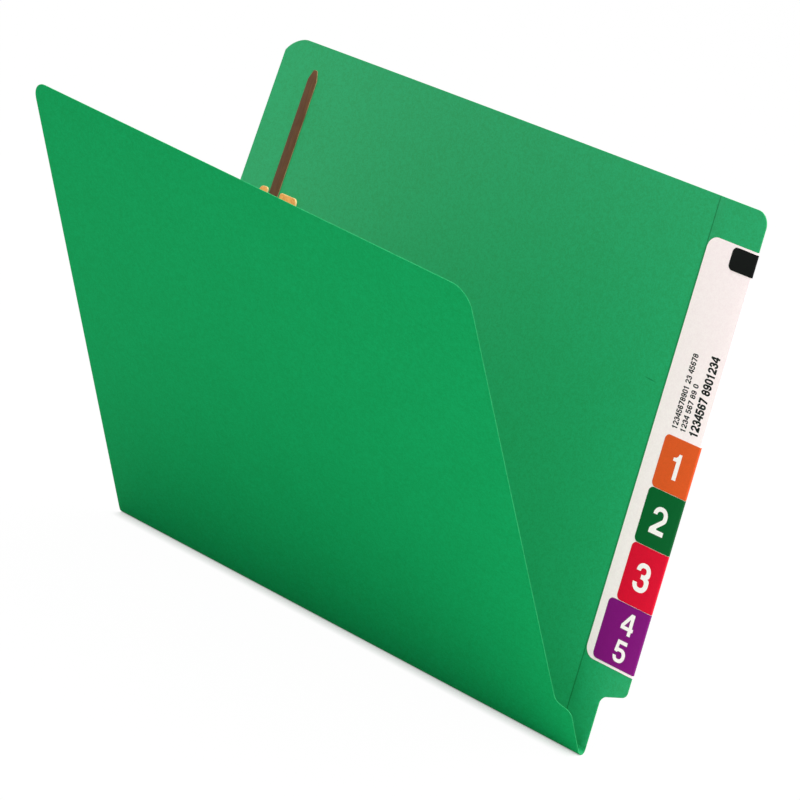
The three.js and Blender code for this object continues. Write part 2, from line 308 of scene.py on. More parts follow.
def paper_finish(
    name, dark, light, roughness, gloss=0.2, cloud=0.08, mottle=0.32, fibre=0.6, bump=0.25
):
    """A dyed paper: clouds, mottle and fibres between a darker and a lighter colour."""
    material, nodes, links, shader = new_finish(name)
    place = nodes.new("ShaderNodeTexCoord")
    clouds = noise_on(nodes, links, place, CLOUDS_PER_METRE, SOFT_NOISE).outputs["Fac"]
    mottles = noise_on(nodes, links, place, MOTTLES_PER_METRE, SOFT_NOISE).outputs["Fac"]
    fibres = noise_on(nodes, links, place, FIBRES_PER_METRE, CRISP_NOISE).outputs["Fac"]
    blend = weighted_sum(nodes, links, [(clouds, cloud), (mottles, mottle), (fibres, fibre)])
    colour_between(nodes, links, blend, GRAIN_ENDS, (dark, light), shader)
    relief = weighted_sum(nodes, links, [(mottles, 0.5), (fibres, 0.5)])
    dent_surface(nodes, links, relief, bump, GRAIN_DEPTH, shader)
    shader.inputs["Roughness"].default_value = roughness
    shader.inputs["Specular IOR Level"].default_value = gloss
    return material


# One card in two copies: the inside painted lighter as painted sheen, the outside painted darker as
# painted shade.
painted_lit_inside_card = paper_finish(
    "inside_card_painted_lit", screen_colour(8, 148, 84), screen_colour(17, 161, 101), 0.6, gloss=0.5
)
painted_shade_outside_card = paper_finish(
    "outside_card_painted_shade", screen_colour(0, 142, 74), screen_colour(3, 154, 86), 0.85, gloss=0.07
)
card_edge = paper_finish(
    "card_edge", screen_colour(26, 150, 86), screen_colour(52, 172, 106), 0.9
)
print("card finishes:", painted_lit_inside_card.name, painted_shade_outside_card.name, card_edge.name)

# %% [markdown]
# ## Where a point of a cover is
# Each cover leans away from upright and, because the card springs, twists a little along the
# fold. A point is given by x along the fold, up the cover from its crease, and off the card's
# middle towards the inside. Below FOLD_TOP the card leaves its straight line and curves round
# under the folder, where the two covers meet on the table. That curve is one cubic piece,
# which starts level on the table and ends in line with the cover at that x. Modifiers could
# bend a flat sheet as well, but one formula gives the cover and all that is stuck to it the
# same place, to a hundredth of a millimetre.

# %% Covers' places
HALF_BODY = 149.225
TAB_EDGE = 161.925
CARD = 0.28
HINGE_Y = 1.54
HINGE_Z = 0.14
FOLD_TOP = 3.0
FOLD_FOOT = -1.2
BACK = {"side": 1, "lean": 13.1, "spring": -3.0}
FRONT = {"side": -1, "lean": 23.4, "spring": 2.1}


def on_cover(cover, x, up, off):
    """A point of a cover, in metres."""
    lean = math.radians(cover["lean"] + cover["spring"] * x / HALF_BODY)
    sine, cosine = math.sin(lean), math.cos(lean)
    if up >= FOLD_TOP:
        outwards = HINGE_Y + up * sine - off * cosine
        height = HINGE_Z + up * cosine + off * sine
        return Vector((x, cover["side"] * outwards, height)) * MM
    run = FOLD_TOP - FOLD_FOOT
    share = (up - FOLD_FOOT) / run
    start = Vector((0.0, HINGE_Z))
    end = Vector((HINGE_Y + FOLD_TOP * sine, HINGE_Z + FOLD_TOP * cosine))
    leave = Vector((run, 0.0))
    arrive = Vector((run * sine, run * cosine))
    middle = (
        start * (2 * share**3 - 3 * share**2 + 1)
        + leave * (share**3 - 2 * share**2 + share)
        + end * (3 * share**2 - 2 * share**3)
        + arrive * (share**3 - share**2)
    )
    along = (
        start * (6 * share**2 - 6 * share)
        + leave * (3 * share**2 - 4 * share + 1)
        + end * (6 * share - 6 * share**2)
        + arrive * (3 * share**2 - 2 * share)
    ).normalized()
    outwards = middle.x - off * along.y
    height = middle.y + off * along.x
    return Vector((x, cover["side"] * outwards, height)) * MM


print("back cover's crease starts at", [round(c, 5) for c in on_cover(BACK, 0, FOLD_TOP, 0)])

# %% [markdown]
# ## Cutting a sheet
# Every flat piece starts as the real one does, from an outline: a few corner points make one
# face, a vertex bevel rounds each corner, and an extrusion gives the sheet its thickness. A
# curve could be filled and extruded too, but then each round corner has to be drawn as an arc.

# %% Outline helpers
CORNER_SEGMENTS = 10


def rounded_face(plate, corners, level, segments):
    """Adds a flat face whose corners are given as (x, up, radius), and returns it."""
    others = set(plate.faces)
    points = [plate.verts.new((x, up, level)) for x, up, _ in corners]
    plate.faces.new(points)
    for index, (x, up, radius) in enumerate(corners):
        if radius == 0:
            continue
        before = Vector(corners[index - 1][:2]) - Vector((x, up))
        after = Vector(corners[(index + 1) % len(corners)][:2]) - Vector((x, up))
        run = radius / math.tan(before.angle(after) / 2)
        bmesh.ops.bevel(
            plate, geom=[points[index]], offset=run, offset_type="OFFSET", segments=segments,
            profile=0.5, affect="VERTICES", material=-1,
        )
    return (set(plate.faces) - others).pop()


def outline_plate(corners, low, high, segments=CORNER_SEGMENTS):
    """A plate with rounded corners between two levels."""
    plate = bmesh.new()
    rounded_face(plate, corners, high, segments)
    grown = bmesh.ops.extrude_face_region(plate, geom=plate.faces[:])
    lowered = [item for item in grown["geom"] if isinstance(item, bmesh.types.BMVert)]
    bmesh.ops.translate(plate, verts=lowered, vec=(0, 0, low - high))
    bmesh.ops.recalc_face_normals(plate, faces=plate.faces[:])
    return plate


# %% [markdown]
# ## The cut rim
# A die leaves card with a square rim, but not a razor sharp one, and the hair of light that
# runs along it is what shows how thick the card is. A fine bevel makes that line. The rim has
# a material of its own, because a cut bares the paler pulp. All this happens while the sheet
# still lies flat, when a face's direction alone tells the broad faces from the rim.

# %% Rim helpers
BROAD_FACE = 0.99
RIM_NORMALS = 0.9
CORNER_TURN = 1.0


def soften_rim(plate, width, segments=1):
    """A fine bevel round the cut edges, between the broad faces and the rim."""
    rim = [
        edge for edge in plate.edges
        if len(edge.link_faces) == 2
        and abs(edge.link_faces[0].normal.z) + abs(edge.link_faces[1].normal.z) > RIM_NORMALS
        and edge.calc_face_angle() > CORNER_TURN
    ]
    bmesh.ops.bevel(
        plate, geom=rim, offset=width, offset_type="OFFSET", segments=segments, profile=0.5,
        affect="EDGES", material=-1,
    )


def colour_rim(plate, underside=0):
    """Gives the rim material 1, the top material 0 and the underside the one asked for."""
    for face in plate.faces:
        if face.normal.z > BROAD_FACE:
            face.material_index = 0
        elif face.normal.z < -BROAD_FACE:
            face.material_index = underside
        else:
            face.material_index = 1


# %% [markdown]
# ## Rows of points
# A flat sheet needs points to bend at. Subdividing it would tie its rows to the points of its
# rounded corners, so plane cuts are made across it instead. They leave the outline as it is,
# and the rows can lie close together only where the bend is tight.

# %% Row helpers
CUT_REACH = 0.0005
COLUMN_SPACING = 6
ROW_SPACING = 8


def slice_plate(plate, axis, positions):
    """Cuts rows of points across the plate, at places along x (0) or up (1)."""
    normal = Vector((0, 0, 0))
    normal[axis] = 1.0
    for position in positions:
        bmesh.ops.bisect_plane(
            plate, geom=plate.verts[:] + plate.edges[:] + plate.faces[:], dist=CUT_REACH,
            plane_co=normal * position, plane_no=normal,
        )


def steps(low, high, spacing):
    """Evenly spaced places strictly between two ends, no further apart than the spacing."""
    count = max(1, math.ceil((high - low) / spacing))
    return [low + (high - low) * index / count for index in range(1, count)]


print("rows for a sheet 20 mm high:", [round(row, 2) for row in steps(0, 20, ROW_SPACING)])

# %% [markdown]
# ## Putting a sheet in its place
# Only now does each point move from the flat sheet to its place on the folder. The object
# itself stays at the origin, so that the grain runs on from piece to piece. The faces are
# turned outwards last, by the sign of each closed body's volume, which is less than zero when
# the body is inside out. Blender's own guess goes by what lies furthest out, and a thin
# twisted sheet can mislead it.

# %% Place helpers
SHARP_FROM = math.radians(28)


def turn_outwards(plate):
    """Turns the faces of each closed body outwards, by the sign of that body's volume."""
    bmesh.ops.recalc_face_normals(plate, faces=plate.faces[:])
    waiting = set(plate.faces)
    while waiting:
        body = [waiting.pop()]
        for face in body:
            for edge in face.edges:
                for neighbour in edge.link_faces:
                    if neighbour in waiting:
                        waiting.remove(neighbour)
                        body.append(neighbour)
        near = body[0].verts[0].co.copy()
        volume = sum(
            face.calc_area() * face.normal.dot(face.calc_center_median() - near) for face in body
        )
        if volume < 0:
            bmesh.ops.reverse_faces(plate, faces=body)


def put_in_place(name, plate, place, materials):
    """Moves every point to its place and makes the plate an object at the origin."""
    for point in plate.verts:
        point.co = place(*point.co)
    turn_outwards(plate)
    open_edges = sum(1 for edge in plate.edges if len(edge.link_faces) != 2)
    for face in plate.faces:
        face.smooth = True
    mesh = bpy.data.meshes.new(name)
    plate.to_mesh(mesh)
    plate.free()
    mesh.set_sharp_from_angle(angle=SHARP_FROM)
    for material in materials:
        mesh.materials.append(material)
    piece = bpy.data.objects.new(name, mesh)
    bpy.context.scene.collection.objects.link(piece)
    print(f"{name}: {len(mesh.polygons)} faces, {open_edges} open edges")
    return piece


# %% [markdown]
# ## The back cover
# The back cover's outline steps in below the tab. The upper left corner is cut with a wide
# knife, so its curve runs smoothly out of the top edge but meets the side at a slight
# angle.

# %% Back cover
BACK_HEIGHT = 241.3
TAB_FOOT_INNER = 25.9
TAB_FOOT_OUTER = 30.5
# Each corner is given as x, up and the radius of its rounding.
TAB_OUTLINE = [
    (HALF_BODY, TAB_FOOT_INNER, 4.0),
    (TAB_EDGE, TAB_FOOT_OUTER, 3.0),
    (TAB_EDGE, BACK_HEIGHT, 6.35),
]
CUT_ACROSS = 5.2
CUT_DOWN = 7.8
CUT_CORNER = [
    (-HALF_BODY + CUT_ACROSS, BACK_HEIGHT, 16.0),
    (-HALF_BODY, BACK_HEIGHT - CUT_DOWN, 0.6),
]
FOLD_ROW_STEP = 0.3
FOLD_ROW_COUNT = 14
FOLD_ROWS = [FOLD_FOOT + FOLD_ROW_STEP * row for row in range(1, FOLD_ROW_COUNT + 1)]
FACE = CARD / 2
RIM_BEVEL = 0.05

back_plate = outline_plate(
    [(-HALF_BODY, FOLD_FOOT, 0), (HALF_BODY, FOLD_FOOT, 0), *TAB_OUTLINE, *CUT_CORNER],
    -FACE, FACE,
)
soften_rim(back_plate, RIM_BEVEL)
colour_rim(back_plate, underside=2)
slice_plate(back_plate, 0, steps(-HALF_BODY, TAB_EDGE, COLUMN_SPACING))
slice_plate(back_plate, 1, FOLD_ROWS + steps(FOLD_TOP, BACK_HEIGHT, ROW_SPACING))
# The inside faces take the card painted lighter, the outside faces the card painted darker.
back_sheet = put_in_place(
    "back_sheet", back_plate, lambda x, up, off: on_cover(BACK, x, up, off),
    [painted_lit_inside_card, card_edge, painted_shade_outside_card],
)
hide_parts("back_cover", "fold_strip")
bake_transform(back_sheet)

# %% [markdown]
# ## The front cover
# The front cover is lower than the back, and its right edge is cut back at a slant, so that the
# stickers on the tab can be read past it. A short jog near the fold leads out to the back
# cover's width. It is made and bent as the back cover is, and the two sheets meet in the
# middle of the fold's underside.

# %% Front cover
FRONT_HEIGHT = 234.95
JOG_FOOT = 24.6
JOG_TOP = 26.8
INSET_LOW = 8.6
INSET_TOP = 15.2

front_plate = outline_plate(
    [
        (-HALF_BODY, FOLD_FOOT, 0),
        (HALF_BODY, FOLD_FOOT, 0),
        (HALF_BODY, JOG_FOOT, 4.0),
        (HALF_BODY - INSET_LOW, JOG_TOP, 3.5),
        (HALF_BODY - INSET_TOP, FRONT_HEIGHT, 9.5),
        (-HALF_BODY, FRONT_HEIGHT, 9.5),
    ],
    -FACE, FACE,
)
soften_rim(front_plate, RIM_BEVEL)
colour_rim(front_plate, underside=2)
slice_plate(front_plate, 0, steps(-HALF_BODY, HALF_BODY, COLUMN_SPACING))
slice_plate(front_plate, 1, FOLD_ROWS + steps(FOLD_TOP, FRONT_HEIGHT, ROW_SPACING))
front_sheet = put_in_place(
    "front_sheet", front_plate, lambda x, up, off: on_cover(FRONT, x, up, off),
    [painted_lit_inside_card, card_edge, painted_shade_outside_card],
)
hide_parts("front_cover")
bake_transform(front_sheet)

# %% [markdown]
# ## The tab's second layer
# A strip of the same card is glued inside the tab and down the cover's edge to stiffen it. It
# is cut with the same die, so its outer outline is the cover's. Its inner edge is pressed thin,
# so that no sheet catches on it. Lowering the points of that edge and of the foot makes the
# slope, and the slope that runs down the cover is painted darker: a painted shadow that draws
# the faint dark line along the layer's edge.

# %% Second layer
GLUE_LINE = 0.05
PLY_WIDTH = 28
PLY_LEFT = TAB_EDGE - PLY_WIDTH
PLY_LOW = FACE + GLUE_LINE
PLY_HIGH = PLY_LOW + CARD
THIN_EDGE = 0.7
THIN_EDGE_HEIGHT = 0.08
RIM_WIDTH = 0.06
FACES_UP = 0.5

# A darker copy of the card: painted shade, for the dark line along the layer's thin edge and for
# the pressed mark.
painted_shade_card = paper_finish(
    "painted_shade_card", screen_colour(10, 121, 67), screen_colour(16, 133, 77), 0.7, gloss=0.3
)
ply_plate = outline_plate(
    [(PLY_LEFT, FOLD_TOP, 0), (HALF_BODY, FOLD_TOP, 0), *TAB_OUTLINE, (PLY_LEFT, BACK_HEIGHT, 0)],
    PLY_LOW, PLY_HIGH,
)
soften_rim(ply_plate, RIM_BEVEL)
colour_rim(ply_plate)
slice_plate(ply_plate, 0, [PLY_LEFT + THIN_EDGE])
slice_plate(ply_plate, 1, [FOLD_TOP + THIN_EDGE])
for point in ply_plate.verts:
    thin = point.co.x < PLY_LEFT + RIM_WIDTH or point.co.y < FOLD_TOP + RIM_WIDTH
    if thin and point.co.z > PLY_LOW + THIN_EDGE_HEIGHT:
        point.co.z = PLY_LOW + THIN_EDGE_HEIGHT
ply_plate.normal_update()
# The slope's faces down the cover take the painted shade.
for face in ply_plate.faces:
    if face.normal.z > FACES_UP and face.calc_center_median().x < PLY_LEFT + THIN_EDGE:
        face.material_index = 2
slice_plate(ply_plate, 0, steps(PLY_LEFT + THIN_EDGE, TAB_EDGE, COLUMN_SPACING))
slice_plate(ply_plate, 1, steps(FOLD_TOP, BACK_HEIGHT, ROW_SPACING))
tab_layer = put_in_place(
    "tab_layer", ply_plate, lambda x, up, off: on_cover(BACK, x, up, off),
    [painted_lit_inside_card, card_edge, painted_shade_card],
)
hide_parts("tab_ply")
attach(tab_layer, "back")

# %% [markdown]
# ## A pressed mark, drawn in painted shade
# Beside the label the card has one short pressed line, such as a fingernail leaves. A dent so
# fine could be cut into the sheet, but that would need many small faces in the cover. Instead a
# sliver of darker card, sunk into the face and a hair above it, is the dent's painted shade.

# %% Pressed mark
MARK_DEPTH = 0.03
MARK_RISE = 0.02
MARK_OUTLINE = [(122.2, 159.15, 0), (126.0, 158.72, 0), (129.9, 158.7, 0), (126.4, 159.2, 0)]

mark_plate = outline_plate(MARK_OUTLINE, FACE - MARK_DEPTH, FACE + MARK_RISE)
dent_painted_shade = put_in_place(
    "dent_painted_shade", mark_plate, lambda x, up, off: on_cover(BACK, x, up, off),
    [painted_shade_card],
)
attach(dent_painted_shade, "back")

# %% [markdown]
# ## Stickers that wrap round the tab
# Every sticker is one strip of paper, pressed over the tab's edge, so that it reads from both
# sides of the shelf. It is cut flat, with w measured across it from the middle of the tab's
# edge, less than zero inside and more than zero on the back. A cloth simulation could press it
# over the edge, but paper on a straight edge takes a plain shape: two tight quarter turns, a
# little wider where it lies on another sticker.

# %% Sticker places
LABEL_THICKNESS = 0.1
LABEL_WIDTH = 27.0
BEND_EASE = 0.02
STACK_MIDDLE = (PLY_HIGH - FACE) / 2
ACROSS_EDGE = (PLY_HIGH + FACE) / 2 - BEND_EASE


def sticker_gap(below):
    """From the card to the middle of a sticker that lies on so many others."""
    return GLUE_LINE + below * (LABEL_THICKNESS + GLUE_LINE) + LABEL_THICKNESS / 2


def bend_length(below):
    """The length of one quarter turn, along the sticker's middle."""
    return (sticker_gap(below) + BEND_EASE) * math.pi / 2


def round_tab(below, w, up, lift):
    """A point of a wrapped sticker, lifted so far off the sticker's own middle."""
    radius = sticker_gap(below) + BEND_EASE
    side = -1 if w > 0 else 1
    past_edge = max(0.0, abs(w) - ACROSS_EDGE)
    turn = min(past_edge / radius, math.pi / 2)
    straight = max(0.0, past_edge - bend_length(below))
    reach = radius + lift
    x = TAB_EDGE - BEND_EASE + reach * math.cos(turn) - straight
    off = STACK_MIDDLE + side * (min(abs(w), ACROSS_EDGE) + reach * math.sin(turn))
    return on_cover(BACK, x, up, off)


def flat_width(below, width):
    """How far w goes for a sticker that reaches so far from the tab's edge."""
    return ACROSS_EDGE + bend_length(below) + width - BEND_EASE


print("the white label is", round(2 * flat_width(0, LABEL_WIDTH), 2), "mm wide when it lies flat")

# %% [markdown]
# ## Sticker paper
# Label stock is smoother than card and a little glossy, so it takes the card's recipe with
# hardly any bump. The white one keeps a trace of fibre. The coloured ones are printed: the ink
# is even, with a faint mottle, and their cut rim shows the white paper.

# %% Sticker finishes
label_white = paper_finish(
    "label_white", screen_colour(250, 230, 233), screen_colour(255, 237, 239), 0.55, bump=0.05
)
label_rim = paper_finish(
    "label_rim", screen_colour(232, 226, 214), screen_colour(245, 240, 230), 0.7
)
INK_SHADE = 0.965


def printed_finish(name, red, green, blue):
    """An even ink on label stock."""
    dark = screen_colour(red * INK_SHADE, green * INK_SHADE, blue * INK_SHADE)
    light = screen_colour(red, green, blue)
    return paper_finish(name, dark, light, 0.5, gloss=0.12, bump=0.03)


ink_black = printed_finish("ink_black", 10, 9, 10)
ink_orange = printed_finish("ink_orange", 224, 87, 36)
ink_dark_green = printed_finish("ink_dark_green", 6, 92, 42)
ink_red = printed_finish("ink_red", 220, 10, 47)
ink_purple = printed_finish("ink_purple", 127, 14, 117)
inks = [ink_black, ink_orange, ink_dark_green, ink_red, ink_purple]
print("sticker finishes:", label_white.name, label_rim.name, [ink.name for ink in inks])

# %% [markdown]
# ## The white label and its marker
# The white label is the ground of the whole set. It starts a little below the tab's upper
# corner and carries a black marker at its upper end. One helper makes every sticker, and all
# that changes from one to the next is its size, its ink and how many stickers lie below it.

# %% White label and marker
LABEL_FROM_TOP = 16.5
LABEL_LENGTH = 185.5
LABEL_CORNER = 5.0
LABEL_TOP = BACK_HEIGHT - LABEL_FROM_TOP
LABEL_FOOT = LABEL_TOP - LABEL_LENGTH
MARKER_WIDTH = 13.1
MARKER_LENGTH = 9.7
MARKER_MARGIN = 0.9
MARKER_TOP = LABEL_TOP - MARKER_MARGIN
BLOCK_CORNER = 2.4
LABEL_BEVEL = 0.02
TURN_ROWS = 6


def sticker(name, node, below, width, foot, top, corner, finish):
    """A sticker wrapped round the tab, in place of its plain solid."""
    reach = flat_width(below, width)
    corners = [(-reach, foot), (reach, foot), (reach, top), (-reach, top)]
    plate = outline_plate(
        [(w, up, corner) for w, up in corners], -LABEL_THICKNESS / 2, LABEL_THICKNESS / 2
    )
    soften_rim(plate, LABEL_BEVEL)
    colour_rim(plate)
    quarter = bend_length(below)
    turns = [ACROSS_EDGE + quarter * row / TURN_ROWS for row in range(TURN_ROWS + 1)]
    slice_plate(plate, 0, [-place for place in turns] + turns)
    for low, high in ((-reach, -turns[-1]), (turns[-1], reach)):
        slice_plate(plate, 0, steps(low, high, COLUMN_SPACING))
    slice_plate(plate, 1, steps(foot, top, ROW_SPACING))
    piece = put_in_place(
        name, plate, lambda w, up, lift: round_tab(below, w, up, lift), [finish, label_rim]
    )
    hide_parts(node)
    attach(piece, "back")


sticker(
    "white_label", "label_base", 0, LABEL_WIDTH, LABEL_FOOT, LABEL_TOP, LABEL_CORNER,
    label_white,
)
sticker(
    "black_marker", "label_marker", 1, MARKER_WIDTH, MARKER_TOP - MARKER_LENGTH, MARKER_TOP,
    BLOCK_CORNER, ink_black,
)

# %% [markdown]
# ## The number stickers
# Four coloured stickers stand end to end at the label's foot, so that a shelf of folders shows
# its order by colour. They are made from the lowest one up, each of them starting where the
# last one ends, and a hair of white stays between two.

# %% Number stickers
BLOCK_GAP = 0.1
NUMBERS_MARGIN = 1.1
# Each row: piece, the solid it stands for, width on each side, length, ink and slot.
NUMBER_STICKERS = [
    ("purple_sticker", "label_double", 22.8, 27.2, ink_purple, "purple_label"),
    ("red_sticker", "label_third", 19.5, 26.0, ink_red, "red_label"),
    ("dark_green_sticker", "label_second", 19.4, 24.5, ink_dark_green, "dark_green_label"),
    ("orange_sticker", "label_first", 19.0, 23.2, ink_orange, "orange_label"),
]
sticker_foot = LABEL_FOOT + NUMBERS_MARGIN
for name, node, width, length, finish, slot in NUMBER_STICKERS:
    top = sticker_foot + length - BLOCK_GAP
    sticker(name, node, 1, width, sticker_foot, top, BLOCK_CORNER, finish)
    print(f"  {name} from {sticker_foot:.1f} to {top:.1f} mm up the cover")
    sticker_foot += length

# %% [markdown]
# ## Printed numbers
# Filing labels carry bold upright numbers. Here they are plain ones that count the stickers.
# Each numeral is drawn like every other flat piece, as an outline with rounded corners, on a
# body 10 high, and a hole in a numeral is a second outline inside the first. Drawing them
# needs no font file, and the nine is the six turned upside down.

# %% Numeral outlines
ONE = [(0.95, 0, 0), (0.95, 10, 0), (-0.45, 10, 0), (-0.9, 8.35, 1.5), (-2.7, 8.2, 0)]
ONE += [(-2.7, 6.9, 0), (-0.95, 6.9, 0), (-0.95, 0, 0)]
TWO = [(-3.3, 0, 0), (3.3, 0, 0), (3.3, 1.75, 0), (-0.75, 1.75, 0.4), (3.3, 5.3, 1.8)]
TWO += [(3.3, 10, 3.1), (-3.3, 10, 3.0), (-3.3, 6.9, 0), (-1.5, 6.9, 0), (-1.5, 8.35, 1.2)]
TWO += [(1.45, 8.35, 1.3), (1.45, 5.9, 1.0), (-3.3, 1.8, 1.2)]
THREE = [(-3.3, 3.0, 0), (-3.3, 0, 2.8), (3.3, 0, 3.0), (3.3, 5.0, 1.2), (2.35, 5.35, 0)]
THREE += [(3.05, 5.75, 1.1), (3.05, 10, 2.9), (-3.1, 10, 2.7), (-3.1, 7.05, 0), (-1.3, 7.05, 0)]
THREE += [(-1.3, 8.4, 1.1), (1.25, 8.4, 1.1), (1.25, 6.1, 1.0), (-0.6, 6.1, 0), (-0.6, 4.5, 0)]
THREE += [(1.45, 4.5, 1.3), (1.45, 1.6, 1.35), (-1.5, 1.6, 1.2), (-1.5, 3.0, 0)]
FOUR = [(0.9, 0, 0), (2.75, 0, 0), (2.75, 2.15, 0), (3.6, 2.15, 0), (3.6, 3.75, 0), (2.75, 3.75, 0)]
FOUR += [(2.75, 10, 0), (0.7, 10, 0), (-3.5, 3.95, 0), (-3.5, 2.15, 0), (0.9, 2.15, 0)]
FOUR_HOLE = [(0.9, 3.75, 0), (0.9, 7.5, 0), (-1.7, 3.75, 0)]
FIVE = [(-2.75, 10, 0), (2.75, 10, 0), (2.75, 8.35, 0), (-1.3, 8.35, 0), (-1.5, 6.55, 0.3)]
FIVE += [(3.3, 6.55, 2.9), (3.3, 0, 3.1), (-3.3, 0, 2.6), (-3.4, 2.85, 0), (-1.6, 2.85, 0)]
FIVE += [(-1.45, 1.6, 1.0), (1.45, 1.6, 1.45), (1.45, 4.95, 1.45), (-1.3, 4.95, 0.8)]
FIVE += [(-1.75, 4.35, 0), (-3.3, 4.6, 0)]
SIX = [(3.15, 7.3, 0), (3.15, 10, 2.6), (-3.3, 10, 3.1), (-3.3, 0, 3.1), (3.3, 0, 3.1)]
SIX += [(3.3, 6.35, 2.7), (-1.45, 6.35, 0.9), (-1.45, 8.35, 1.1), (1.3, 8.35, 0.9)]
SIX += [(1.35, 7.3, 0)]
LOW_HOLE = [(-1.45, 1.65, 1.4), (1.45, 1.65, 1.4), (1.45, 4.75, 1.4), (-1.45, 4.75, 1.4)]
SEVEN = [(-3.2, 10, 0), (3.3, 10, 0), (3.3, 8.5, 0), (0.2, 0, 0), (-1.85, 0, 0)]
SEVEN += [(1.15, 8.2, 0), (-3.2, 8.2, 0)]
EIGHT = [(-3.3, 0, 3.0), (3.3, 0, 3.0), (3.3, 5.0, 1.2), (2.35, 5.35, 0), (3.05, 5.75, 1.1)]
EIGHT += [(3.05, 10, 2.9), (-3.05, 10, 2.9), (-3.05, 5.75, 1.1), (-2.35, 5.35, 0), (-3.3, 5.0, 1.2)]
EIGHT_LOW = [(-1.45, 1.6, 1.3), (1.45, 1.6, 1.3), (1.45, 4.5, 1.3), (-1.45, 4.5, 1.3)]
EIGHT_HIGH = [(-1.25, 6.1, 1.0), (1.25, 6.1, 1.0), (1.25, 8.4, 1.0), (-1.25, 8.4, 1.0)]
NOUGHT = [(-3.3, 0, 3.1), (3.3, 0, 3.1), (3.3, 10, 3.1), (-3.3, 10, 3.1)]
NOUGHT_HOLE = [(-1.45, 1.65, 1.4), (1.45, 1.65, 1.4), (1.45, 8.35, 1.4), (-1.45, 8.35, 1.4)]
print("a four is", max(up for _, up, _ in FOUR), "high")

# %% The set of numerals
NUMERAL_HEIGHT = 10


def half_turn(corners):
    """The same outline upside down, which makes a nine of a six."""
    return [(-x, NUMERAL_HEIGHT - up, radius) for x, up, radius in corners]


NUMERALS = {
    "0": [NOUGHT, NOUGHT_HOLE],
    "1": [ONE],
    "2": [TWO],
    "3": [THREE],
    "4": [FOUR, FOUR_HOLE],
    "5": [FIVE],
    "6": [SIX, LOW_HOLE],
    "7": [SEVEN],
    "8": [EIGHT, EIGHT_LOW, EIGHT_HIGH],
    "9": [half_turn(SIX), half_turn(LOW_HOLE)],
}
print("numerals drawn:", " ".join(NUMERALS))

# %% [markdown]
# ## Setting the type
# A number is set as type is: the numerals stand side by side at even steps. A text object could
# do that by itself, but Blender's own font is too light for a label. The outlines of a numeral
# with holes are filled together, so that the holes stay open.

# %% Set the numerals
NUMERAL_STEP = 7.9
SPACE_STEP = 4.2


def draw_numerals(text, segments):
    """Numerals side by side as one flat mesh."""
    plate = bmesh.new()
    pen = 0.0
    for numeral in text:
        if numeral == " ":
            pen += SPACE_STEP
            continue
        faces = [
            rounded_face(plate, [(x + pen, up, radius) for x, up, radius in outline], 0.0, segments)
            for outline in NUMERALS[numeral]
        ]
        if len(faces) > 1:
            rims = [edge for face in faces for edge in face.edges]
            bmesh.ops.delete(plate, geom=faces, context="FACES_ONLY")
            bmesh.ops.triangle_fill(plate, use_beauty=True, edges=rims, normal=(0, 0, 1))
        pen += NUMERAL_STEP
    return plate


print("ten numerals take", 10 * NUMERAL_STEP, "before they are scaled")

# %% [markdown]
# ## Weight and size
# Bold type has thicker strokes. A second set of outlines could be drawn for it, but small type
# looks right when each outline is simply pushed outwards, which also narrows the holes. Then
# the whole is scaled to its height on the label.

# %% Weight and size
LEAST_PUSH = 0.6


def embolden(plate, amount):
    """Moves the numerals' outlines outwards, so that their strokes grow by twice the amount."""
    pushes = {}
    plate.normal_update()
    for edge in plate.edges:
        if not edge.is_boundary:
            continue
        loop = edge.link_loops[0]
        along = (loop.link_loop_next.vert.co - loop.vert.co).normalized()
        outwards = Vector((along.y, -along.x, 0)) * (1 if loop.face.normal.z > 0 else -1)
        for point in edge.verts:
            pushes.setdefault(point, []).append(outwards)
    for point, sides in pushes.items():
        middle = sum(sides, Vector()).normalized()
        point.co += middle * amount / max(middle.dot(sides[0]), LEAST_PUSH)


def scale_type(plate, height):
    """Scales numerals to a height, centres them and returns their width."""
    low = [min(point.co[axis] for point in plate.verts) for axis in (0, 1)]
    high = [max(point.co[axis] for point in plate.verts) for axis in (0, 1)]
    middle = Vector(((low[0] + high[0]) / 2, (low[1] + high[1]) / 2, 0))
    factor = height / (high[1] - low[1])
    bmesh.ops.translate(plate, verts=plate.verts[:], vec=-middle)
    bmesh.ops.scale(plate, verts=plate.verts[:], vec=(factor, factor, 1))
    return (high[0] - low[0]) * factor


# %% [markdown]
# ## Ink
# Print could be a pattern in the sticker's material, but a numeral with a body of its own keeps
# a sharp edge at any distance. It gets the thickness of a layer of ink, and rows of points, so
# that it follows the twisted cover, and it lies a hair above its sticker.

# %% Ink
ink_white = paper_finish(
    "ink_white", screen_colour(246, 234, 233), screen_colour(252, 240, 240), 0.5, bump=0.03
)
ink_text = paper_finish(
    "ink_text", screen_colour(8, 8, 9), screen_colour(18, 18, 20), 0.5, bump=0.03
)
INK_LIFT = 0.008
INK_THICKNESS = 0.012
INK_SPACING = 3


def ink_piece(name, plate, place, finish):
    """Gives flat numerals a thickness and lays them on a sticker."""
    span = [max(abs(point.co[axis]) for point in plate.verts) for axis in (0, 1)]
    grown = bmesh.ops.extrude_face_region(plate, geom=plate.faces[:])
    raised = [item for item in grown["geom"] if isinstance(item, bmesh.types.BMVert)]
    bmesh.ops.translate(plate, verts=raised, vec=(0, 0, INK_THICKNESS))
    for axis in (0, 1):
        slice_plate(plate, axis, steps(-span[axis], span[axis], INK_SPACING))
    piece = put_in_place(name, plate, place, [finish])
    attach(piece, "back")


print("ink:", INK_THICKNESS, "mm thick,", INK_LIFT, "mm above its sticker")

# %% [markdown]
# ## Numbers on the stickers
# Each sticker carries one large white number on each side of the tab, and the longest one
# carries two. On the back x runs the other way, so the number is mirrored as it is laid on and
# reads the right way round from there.

